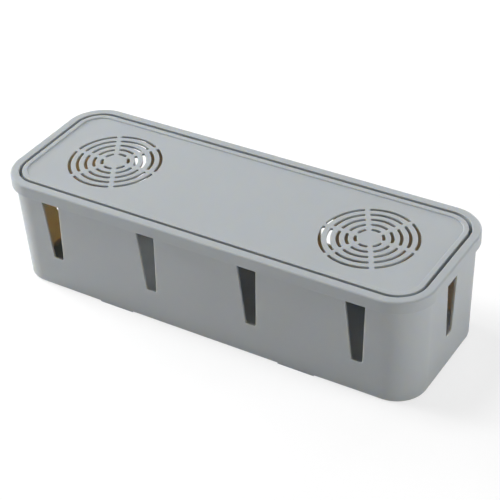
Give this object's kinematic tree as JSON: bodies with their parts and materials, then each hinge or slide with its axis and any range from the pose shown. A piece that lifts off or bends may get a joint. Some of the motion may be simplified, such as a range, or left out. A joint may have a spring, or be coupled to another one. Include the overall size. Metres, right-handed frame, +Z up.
{
  "type": "cable management box",
  "caption": "Long grey plastic box that hides a power strip, with tapered cord notches in its walls and a lift-off lid with round slotted vents.",
  "frame": {"origin": "centre of the footprint, on the surface that the box stands on", "axes": "+X along the box, -Y its front, +Z up"},
  "size_m": [0.32, 0.112, 0.0833],
  "materials": {
    "body_plastic": "satin moulded",
    "lid_plastic": "satin moulded"
  },
  "bodies": {
    "box": {"box_body": "body_plastic"},
    "lid": {"lid": "lid_plastic"}
  },
  "joints": [
    {"name": "lid_lift", "type": "slide", "parent": "box", "child": "lid", "axis": [0, 0, 1], "range_m": [0, 0.06]}
  ]
}
